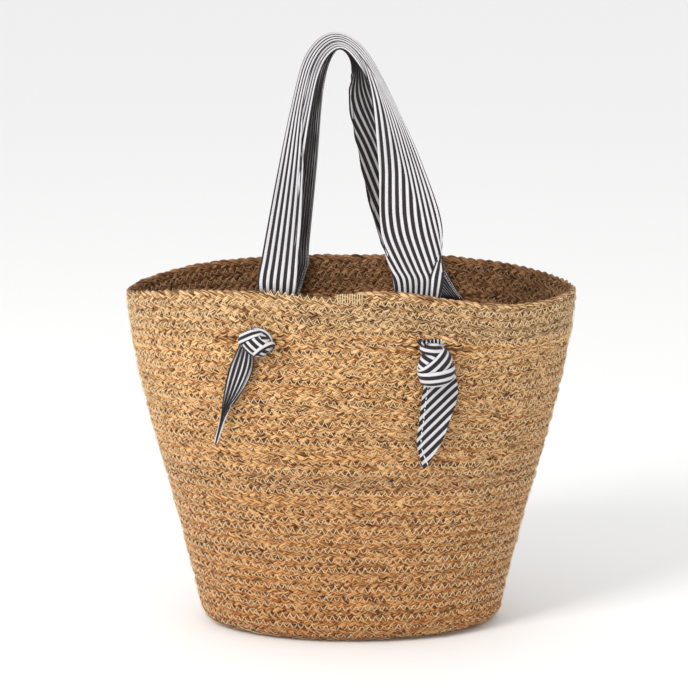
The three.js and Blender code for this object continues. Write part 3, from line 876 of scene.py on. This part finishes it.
def cloth(name, rungs, keys, width=STRIP_WIDTH, start_v=0.0, seed=1, edges=None, pleats=1.0, columns=COLUMNS, fold_round=5,
          stripe_turn=0.0, stripe_shift=0.0, step=ROW_STEP, thick=CLOTH_THICK, crumple=0.5):
    """A strip of cloth. A rung is the strip's (outer, inner) edge points; its keys say how it is folded there.

    A key is (share of the cloth's width, share of the rung, depth towards the viewer). Where the cloth is
    wider than the room it has, the spare width stands up in pleats.
    """
    rungs = np.asarray(rungs, float).reshape(len(rungs), 6)
    keys = np.asarray(keys, float).reshape(len(keys), -1)
    fine = spline(np.concatenate([rungs, keys], 1), 1500)
    middle = (fine[:, :3] + fine[:, 3:6]) / 2
    length = np.concatenate([[0], np.cumsum(np.linalg.norm(np.diff(middle, axis=0), axis=1))])
    rows = max(int(length[-1] / step), 4)
    even = np.linspace(0, length[-1], rows)
    fine = np.stack([np.interp(even, length, column) for column in fine.T], 1)
    outer, inner = fine[:, :3], fine[:, 3:6]
    keys = fine[:, 6:].reshape(rows, -1, 3)
    share = np.linspace(0, 1, columns + 1)
    along = unit(np.gradient((outer + inner) / 2, axis=0))
    normal = unit(np.cross(inner - outer, along))
    at = np.stack([np.interp(share, k[:, 0], k[:, 1]) for k in keys])
    deep = np.stack([np.interp(share, k[:, 0], k[:, 2]) for k in keys])
    at, deep = blur(at, fold_round, 1), blur(deep, fold_round, 1)
    points = outer[:, None] + (inner - outer)[:, None] * at[..., None] + normal[:, None] * deep[..., None]
    cell = width / columns
    room = np.linalg.norm(np.diff(points, axis=1), axis=2)
    room = np.concatenate([room, room[:, -1:]], 1)
    room = blur(room, max(int(PLEAT_CLOTH / cell / 2), 1), 1)
    spare = np.sqrt(np.clip(1 - (room / cell) ** 2, 0, 1))
    noise = np.random.default_rng(seed)
    count = width / PLEAT_CLOTH
    wander = smooth_noise(columns + 1, columns / count * 1.3, seed + 1)[None] * 0.45
    drift = smooth_noise(rows, 26, seed + 2)[:, None] * 0.10 + smooth_noise(rows, 9, seed + 3)[:, None] * 0.03
    phase = 2 * math.pi * (count * share[None] - 0.25 + wander * 0.35 + drift * (1 + share[None]))
    height = spare * PLEAT_CLOTH / 4 * pleats
    height = blur(blur(height, 4, 0), 3, 1)
    across = np.gradient(points, axis=1)
    down = np.gradient(points, axis=0)
    face = unit(np.cross(across, down))
    face = unit(blur(face, 6, 1))
    points = points + face * (height * np.sin(phase))[..., None]
    ripple = smooth_noise(rows, 14, seed + 4)[:, None] * np.cos(share * 5 + noise.uniform(0, 6))[None]
    ripple = ripple + smooth_noise(rows, 6, seed + 5)[:, None] * np.cos(share * 13 + noise.uniform(0, 6))[None] * 0.4
    points = points + face * (ripple * crumple * np.clip(1 - spare, 0.2, 1))[..., None]
    along_v = even + start_v
    u, v = np.meshgrid(share * width, along_v)
    edge = np.minimum(u, width - u).ravel()
    if edges is not None:
        cut = np.stack([np.interp(even, np.linspace(0, length[-1], len(edges)), column) for column in np.array(edges).T])
        u = cut[0][:, None] + (cut[1] - cut[0])[:, None] * share[None]
        edge = (u - cut[0][:, None]).ravel()
    turn_u = u * math.cos(stripe_turn) + v * math.sin(stripe_turn) + stripe_shift
    turn_v = v * math.cos(stripe_turn) - u * math.sin(stripe_turn)
    i, j = np.meshgrid(np.arange(rows - 1), np.arange(columns), indexing="ij")
    w = columns + 1
    faces = np.stack([i * w + j, i * w + j + 1, (i + 1) * w + j + 1, (i + 1) * w + j], -1).reshape(-1, 4)
    uvs = np.stack([turn_u.ravel()[faces], turn_v.ravel()[faces]], -1).reshape(-1, 2) * MM
    piece = make_mesh(name, points.reshape(-1, 3), faces, uvs, {"edge": edge})
    piece.data.materials.append(cotton)
    solid = piece.modifiers.new("thickness", "SOLIDIFY")
    solid.thickness = thick * MM
    solid.offset = 0
    return piece, length[-1]


def on_loop(side, x, h):
    """A point of a handle's plane: x across, h up along it from the foot."""
    return [x, side * (LOOP_FOOT_Y - h * math.sin(LOOP_LEAN)), LOOP_FOOT_Z + h * math.cos(LOOP_LEAN)]


def seam_place(side, x, height, out=0.0):
    """A point of the wall's outer face on a course height, with its outward and its seam directions."""
    angle = side * math.acos(x / half_width(height))
    u = height / RIM_HEIGHT

    def at(a):
        return np.array([half_width(height) * math.cos(a), half_depth(height) * math.sin(a),
                         height - rim_dip(a) * u * u])

    normal = np.array([math.cos(angle) / half_width(height), math.sin(angle) / half_depth(height), 0])
    normal /= np.linalg.norm(normal)
    seam = unit(at(angle + 0.01) - at(angle - 0.01)) * -side
    return at(angle) + normal * out, normal, seam


def root_rungs(side, slit_x, foot_outer, foot_inner):
    """Rungs from inside the knot, through the slit and up inside the wall, to just under the loop's foot."""
    half = ROOT_THICK / 2
    inside = -WALL - ROOT_CLEAR - half
    slit, normal, seam = seam_place(side, slit_x, SLIT_HEIGHT)
    left = foot_outer[0] < foot_inner[0]
    wide_at_slit = seam if left else -seam
    foot_x = (foot_outer[0] + foot_inner[0]) / 2
    up_axis = np.array([0, 0, 1.0])
    places = [(slit + normal * 5, 0.0), (slit + normal * 2, 0.03), (slit - normal * WALL, 0.08),
              (slit + normal * (inside - half) + up_axis * (half + 1), 0.2)]
    for share in (0.3, 0.6, 0.85):
        height = SLIT_HEIGHT + share * SLIT_BELOW_RIM
        x = slit_x + (foot_x - slit_x) * share
        places.append((seam_place(side, x, height, inside - half * share)[0], 0.25 + share * 0.6))
    foot_mid = (np.array(foot_outer) + foot_inner) / 2
    foot_half = np.linalg.norm(np.array(foot_outer) - foot_inner) / 2
    direction = unit(np.array(foot_inner) - foot_outer)
    rungs = []
    gathers = [0.45, 0.7] + [1.0] * (len(places) - 2)
    for (place, share), gather in zip(places, gathers):
        wide = unit(wide_at_slit * (1 - share) + direction * share)
        half_wide = (NECK_HALF_WIDTH + (foot_half - NECK_HALF_WIDTH) * share ** 1.5) * gather
        rungs.append((place - wide * half_wide, place + wide * half_wide))
    return rungs


NECK = [(0, 0, 0), (0.25, 0.25, 0), (0.5, 0.5, 0), (0.75, 0.75, 0), (1, 1, 0)]
FOLDED = [(0, 0, 0.5), (0.455, 1, 0.8), (0.6, 0.5, -1.6), (0.78, 0.12, -2.8), (1, 0.95, -4.4)]


CROWN = [(0, 0, 0.2), (0.32, 0.56, 0.9), (0.52, 0.2, -1.6), (0.72, 0.5, -0.9), (1, 1, 0.3)]


LOOP_RUNGS = 30


def loop_rungs(name, side, stations):
    """Rungs and keys of a loop, on a smooth curve through its stations.

    A station is (outer across, outer up, inner across, inner up, keys): across is a share of the CAD loop's
    width, from its left, and up is a share of its length, from its foot.
    """
    left, right = (corner.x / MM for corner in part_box(f"{name}_handle_loop"))
    table = spline([[*edges, *np.ravel(keys)] for *edges, keys in stations], LOOP_RUNGS)

    def place(across, up):
        return on_loop(side, left + (right - left) * across, LOOP_LENGTH * up)

    rungs = [(place(*row[:2]), place(*row[2:4])) for row in table]
    return rungs, list(table[:, 4:].reshape(LOOP_RUNGS, -1, 3))


def handle_strap(name, stations, seed, **settings):
    side = ENDS[f"{name}_left"]["side"]
    rungs, keys = loop_rungs(name, side, stations)
    left = root_rungs(side, ENDS[f"{name}_left"]["x"], rungs[0][0], rungs[0][1])
    right = root_rungs(side, ENDS[f"{name}_right"]["x"], rungs[-1][0], rungs[-1][1])[::-1]
    neck = np.array(NECK, float)
    ways = np.array([0, 0, 0.05, 0.15, 0.35, 0.65, 0.9])
    keys = [neck * (1 - w) + keys[0] * w for w in ways] + keys + \
        [neck * (1 - w) + keys[-1] * w for w in ways[::-1]]
    rungs = [np.concatenate(rung) for rung in left + rungs + right]
    piece, length = cloth(f"{name}_handle_strap", rungs, keys, seed=seed, **settings)
    print(name, "strap length", round(length), "mm")
    return piece, length


def front_stations():
    def right(mid_u, mid_t, bold_u, bold_t, fold_u=0.745, back=0.45, lift=0.5):
        return [(0, 0, -0.5), (mid_u, mid_t, lift), (bold_u, bold_t, lift), (fold_u, 1, 0), (1, back, -3.2)]

    foot = [(0, 0.3, 3.2), (0.18, 0, 1), (0.33, 0.2, 0), (0.87, 1, 0), (1, 0.7, -3)]
    return [
        (-0.02, -0.03, 0.2, -0.03, FOLDED),
        (0.07, 0.35, 0.23, 0.35, FOLDED),
        (0.16, 0.69, 0.27, 0.67, CROWN),
        (0.24, 0.9, 0.33, 0.85, CROWN),
        (0.38, 0.99, 0.42, 0.92, CROWN),
        (0.55, 0.93, 0.51, 0.87, CROWN),
        (0.71, 0.72, 0.6, 0.7, right(0.3, 0.25, 0.6, 0.56, 0.76, 0.6)),
        (0.87, 0.45, 0.63, 0.45, right(0.25, 0.23, 0.48, 0.48)),
        (0.98, 0.17, 0.64, 0.17, right(0.12, 0.1, 0.24, 0.24, lift=1.2)),
        (0.99, -0.03, 0.71, -0.03, foot),
    ]


def rear_stations():
    loose = [(0, 0, 0), (0.25, 0.27, 0), (0.5, 0.53, 0), (0.8, 0.82, 0.4), (1, 1, 0)]

    def right(fold_u, back=0.5):
        return [(0, 0, 0), (fold_u * 0.4, 0.36, 0.5), (fold_u * 0.72, 0.66, 0.4), (fold_u, 1, 0), (1, back, -3)]

    return [
        (0, -0.03, 0.22, -0.03, loose),
        (0.08, 0.38, 0.27, 0.38, loose),
        (0.15, 0.7, 0.3, 0.67, loose),
        (0.22, 0.88, 0.34, 0.84, loose),
        (0.35, 0.96, 0.4, 0.91, loose),
        (0.5, 0.91, 0.46, 0.85, loose),
        (0.64, 0.74, 0.45, 0.68, right(0.63)),
        (0.8, 0.45, 0.5, 0.43, right(0.78)),
        (0.95, 0.15, 0.57, 0.15, right(0.9, 0.7)),
        (1, -0.03, 0.64, -0.03, right(0.96, 0.85)),
    ]


front_strap, front_length = handle_strap("front", front_stations(), 200, pleats=0.5)
rear_strap, rear_length = handle_strap("rear", rear_stations(), 220, pleats=0.56, stripe_shift=3.5)

# ---------------------------------------------------------------- knots and tails
KNOT_GAP = 1.5
TAIL_SLOPE_REACH = 60.0


def end_name(end):
    return next(name for name, other in ENDS.items() if other is end)


def knot_frame(end):
    """A knot's middle and its directions: right as seen from outside, out, and up."""
    low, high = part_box(f"{end_name(end)}_knot")
    middle = np.array(low + high) / 2 / MM
    _, out, _ = seam_place(end["side"], end["x"], SLIT_HEIGHT)
    up_axis = np.array([0, 0, 1.0])
    right = np.cross(up_axis, out)
    return middle, right, out, up_axis


def wrap(name, end, axis, low, high, start, stop, size=1.0, swell=0.08, width=None, centre=(0, 0, 0), squeeze=(1, 1, 1),
         stripe_shift=0.0, flare=0.0, seed=5, thick=0.9):
    """A turn of cloth lying round the knot: a zone of its rounded lump about axis, from latitude low to high."""
    middle, right, out, up_axis = knot_frame(end)
    axis = unit(np.array(axis, float))
    helper = np.array([0.0, 1.0, 0.0]) if abs(axis[1]) < 0.9 else np.array([0.0, 0.0, 1.0])
    e1 = unit(np.cross(helper, axis))
    e2 = np.cross(axis, e1)
    rows, columns = 56, 36
    turn = np.radians(np.linspace(start, stop, rows))[:, None]
    share = np.linspace(0, 1, columns + 1)[None]
    spread = 1 + flare * np.linspace(-1, 1, rows)[:, None]
    lat = np.radians((low + high) / 2 + (share - 0.5) * (high - low) * spread)
    ends = np.clip(np.minimum(np.linspace(0, 1, rows), np.linspace(1, 0, rows)) * 6, 0, 1)[:, None]
    edge = np.clip(np.minimum(share, 1 - share) * 7, 0, 1)
    radius = size * (1 + swell * np.sin(np.pi * share)) * (0.86 + 0.14 * ends) * (0.93 + 0.07 * edge)
    tucks = smooth_noise(columns + 1, 5, seed)[None] * 0.022 + smooth_noise(rows, 12, seed + 1)[:, None] * 0.02
    creases = 0.016 * np.sin(share * 19 + smooth_noise(rows, 18, seed + 2)[:, None] * 1.5)
    radius = radius + tucks + creases
    ball = (np.cos(lat) * np.cos(turn))[..., None] * e1 + (np.cos(lat) * np.sin(turn))[..., None] * e2 + \
        (np.sin(lat) * np.ones_like(turn))[..., None] * axis
    ball = ball * radius[..., None] * np.array(squeeze) + np.array(centre)
    half_across, half_out, half_high = end["knot"]
    points = middle + ball[..., :1] * right * half_across + ball[..., 1:2] * out * half_out + \
        ball[..., 2:] * up_axis * half_high
    mean = (half_across + half_high) / 2
    cloth_width = width or math.radians(high - low) * mean * size * 1.05
    u = share * cloth_width + stripe_shift + 0 * turn
    v = np.degrees(turn) * 0 + (turn * mean) + 0 * share
    i, j = np.meshgrid(np.arange(rows - 1), np.arange(columns), indexing="ij")
    w = columns + 1
    faces = np.stack([i * w + j, i * w + j + 1, (i + 1) * w + j + 1, (i + 1) * w + j], -1).reshape(-1, 4)
    uvs = np.stack([u.ravel()[faces], v.ravel()[faces]], -1).reshape(-1, 2) * MM
    return points.reshape(-1, 3), faces, uvs


def knot_piece(name, which, wraps, extra=()):
    """One knot: its wraps joined in one mesh, riding on the knot's body."""
    end = ENDS[which]
    points, faces, uvs, base = [], [], [], 0
    middle = tuple(np.mean([settings.get("centre", (0, 0, 0)) for settings in wraps], axis=0))
    lump = dict(axis=(0.3, 0.2, 1), low=-89, high=89, start=0, stop=360, size=0.9, seed=3, swell=0, centre=middle)
    parts = [wrap(name, end, **settings) for settings in [lump, *wraps]]
    for p, f, t in [*parts, *extra]:
        points.append(p)
        faces.append(f + base)
        uvs.append(t)
        base += len(p)
    piece = make_mesh(name, np.concatenate(points), np.concatenate(faces), np.concatenate(uvs),
                      {"edge": np.full(base, 40.0)})
    piece.data.materials.append(cotton)
    solid = piece.modifiers.new("thickness", "SOLIDIFY")
    solid.thickness = 1.0 * MM
    solid.offset = -1
    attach(piece, f"{which}_knot")
    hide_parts(f"{which}_knot")
    return piece


TAIL_ROWS = 24


def tail_rows(end, stations):
    """Rows of (down from the knot's middle, left, right, out) on a smooth curve through a tail's stations.

    A station is (share of the way down to the CAD tail's end, left, right, out from the wall's face).
    """
    middle = knot_frame(end)[0]
    reach = middle[2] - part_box(f"{end_name(end)}_tail")[0].z / MM
    return spline([[share * reach, *place] for share, *place in stations], TAIL_ROWS)


def tail_rungs(end, rows):
    middle, right, out, up_axis = knot_frame(end)
    at_slit = seam_place(end["side"], end["x"], SLIT_HEIGHT)[0]
    lower = seam_place(end["side"], end["x"], SLIT_HEIGHT - TAIL_SLOPE_REACH)[0]
    slope = (at_slit - lower) @ out / TAIL_SLOPE_REACH
    drop = at_slit[2] - middle[2]
    face = middle - out * (end["knot"][1] + KNOT_GAP)
    rungs = []
    for down, left_x, right_x, away in rows:
        base = face - up_axis * down - out * (slope * (down + drop) - away)
        rungs.append(np.concatenate([base + right * left_x, base + right * right_x]))
    return rungs


def tail_piece(which, stations, keys, knot, flat_width=None, **settings):
    """A tail, cut to flat_width and folded by its keys, or lying flat and cut to its own outline."""
    end = ENDS[which]
    rows = tail_rows(end, stations)
    edges = None
    if flat_width is None:
        edges = rows[:, 1:3]
        flat_width = float(np.ptp(edges, axis=1).max()) + 0.5
    keys = spline([np.ravel(key) for key in keys], TAIL_ROWS)
    piece, length = cloth(f"{which}_tail_cloth", tail_rungs(end, rows), keys, width=flat_width, columns=60,
                          fold_round=3, step=1.6, crumple=0.35, edges=edges, **settings)
    top = knot_frame(end)[0] - np.array([0, 0, end["knot"][2] - 3.0])
    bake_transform(piece)
    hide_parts(f"{which}_tail")


def moved(wraps, shift, squeeze=(1, 1, 1)):
    """Wraps moved together by a share of the knot's own size, and squeezed."""
    for settings in wraps:
        settings["centre"] = tuple(np.add(settings.get("centre", (0, 0, 0)), shift))
        settings["squeeze"] = tuple(np.multiply(settings.get("squeeze", (1, 1, 1)), squeeze))
    return wraps


def front_left_end():
    axis = (math.sin(math.radians(45)), 0.15, math.cos(math.radians(45)))
    knot = knot_piece("front_left_knot_wraps", "front_left", moved([
        dict(axis=(0.25, 1, -0.1), low=-62, high=20, start=0, stop=360, size=0.93, seed=11),
        dict(axis=axis, low=-58, high=52, start=-10, stop=200, size=1.0, seed=15, stripe_shift=1.5),
        dict(axis=(-0.45, -0.1, 0.9), low=8, high=66, start=20, stop=330, size=1.03, seed=19, centre=(-0.12, 0, 0.02)),
        dict(axis=(0.62, 0.25, -0.74), low=34, high=58, start=0, stop=360, size=1.06, seed=33, centre=(0.02, 0, 0.02),
             stripe_shift=2.2),
    ], (0.36, 0, -0.06), (0.9, 1, 0.98)))
    stations = [(0.04, -12, 1, 12), (0.27, -24, -1, 8), (0.52, -31, -15, 6), (0.74, -35, -30, 5.5), (1, -42, -40, 5)]
    open_face = [(0, 0, 0), (0.26, 0.36, 1), (0.52, 0.74, 0.5), (0.74, 1, 1.2), (1, 0.66, 2.6)]
    gathered = [(0, 0, 0), (0.25, 0.3, 1), (0.5, 0.55, 1), (0.75, 0.8, 1), (1, 1, 0)]
    tail_piece("front_left", stations, [open_face] * 3 + [gathered] * 2, knot, 46.0, seed=240, pleats=0.6)
    return knot


def ruffle(end, low, high, tucks=6):
    """The strip's gathered end standing up out of a knot: a fan from low to high, each (left, right, height)."""
    middle, right, out, up_axis = knot_frame(end)
    rows, columns = 9, 72
    share = np.linspace(0, 1, columns + 1)[None]
    rise = np.linspace(0, 1, rows)[:, None]
    left = low[0] + (high[0] - low[0]) * rise
    wide = (low[1] - low[0]) * (1 - rise) + (high[1] - high[0]) * rise
    ragged = smooth_noise(columns + 1, 4, 71)[None] * 1.1 * rise
    across = left + wide * share
    upward = low[2] + (high[2] - low[2]) * rise + ragged + 1.2 * rise * np.cos(2 * math.pi * tucks * share)
    outward = 2 + (0.8 + 2.0 * rise) * np.sin(2 * math.pi * tucks * share + 0.6) + 1.5 * np.sin(np.pi * share) + 2 * rise
    points = middle + across[..., None] * right + outward[..., None] * out + upward[..., None] * up_axis
    i, j = np.meshgrid(np.arange(rows - 1), np.arange(columns), indexing="ij")
    w = columns + 1
    faces = np.stack([i * w + j, i * w + j + 1, (i + 1) * w + j + 1, (i + 1) * w + j], -1).reshape(-1, 4)
    u, v = share * 45 + 0 * rise, rise * 8 + 0 * share
    uvs = np.stack([u.ravel()[faces], v.ravel()[faces]], -1).reshape(-1, 2) * MM
    return points.reshape(-1, 3), faces, uvs


def front_right_end():
    knot = knot_piece("front_right_knot_wraps", "front_right", moved([
        dict(axis=(0.05, 0.1, 1), low=32, high=84, start=0, stop=360, size=1.0, seed=21, squeeze=(0.85, 0.9, 1.02),
             centre=(-0.25, 0, 0.12)),
        dict(axis=(-0.6, 0.1, 0.75), low=-40, high=42, start=0, stop=360, size=0.97, seed=25),
        dict(axis=(-0.14, 0.05, 1), low=-52, high=2, start=0, stop=360, size=1.06, seed=29, centre=(0.05, 0, -0.08)),
    ], (-0.2, 0, -0.28)), extra=[ruffle(ENDS["front_right"], (-18, -1, 12), (-25, 0, 19.5))])
    stations = [(0.1, -11, 16, 11), (0.31, -14, 21, 6), (0.52, -16, 15, 4.5), (0.73, -18, 6, 4.5), (0.94, -11, -9, 4.5)]
    tail_piece("front_right", stations, FLAT_TAIL, knot, seed=250, pleats=0.0, stripe_turn=math.radians(45))
    return knot


def rear_end(which, stations, turn, seed):
    knot = knot_piece(f"{which}_knot_wraps", which, [
        dict(axis=(0.1, 1, 0.2), low=-60, high=20, start=0, stop=360, size=0.93, seed=seed),
        dict(axis=(-0.55, 0.1, 0.8), low=-50, high=50, start=0, stop=360, size=1.0, seed=seed + 4),
        dict(axis=(0.3, 0.05, 1), low=-48, high=0, start=0, stop=360, size=1.05, seed=seed + 8, centre=(0, 0, -0.05)),
    ])
    tail_piece(which, stations, FLAT_TAIL, knot, seed=seed + 30, pleats=0.0, stripe_turn=math.radians(turn))
    return knot


FLAT_TAIL = [[(0, 0, 0), (0.3, 0.3, 0.6), (0.6, 0.6, 0.2), (1, 1, 0)]] * 2
front_knots = [front_left_end(), front_right_end()]
rear_knots = [
    rear_end("rear_left", [(0.11, -14, 13, 11), (0.36, -19, 15, 6), (0.66, -22, 8, 4.5), (0.95, -15, -12, 4.5)], 40, 300),
    rear_end("rear_right", [(0.1, -9, 12, 11), (0.38, -18, 7, 6), (0.68, -26, -3, 4.5), (0.96, -27, -24, 4.5)], -20, 340),
]

for side_name, side, strap, length, knots in (("front", -1, front_strap, front_length, front_knots),
                                              ("rear", 1, rear_strap, rear_length, rear_knots)):
    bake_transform(strap)
    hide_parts(f"{side_name}_handle_loop", f"{side_name}_left_strap_root", f"{side_name}_right_strap_root")
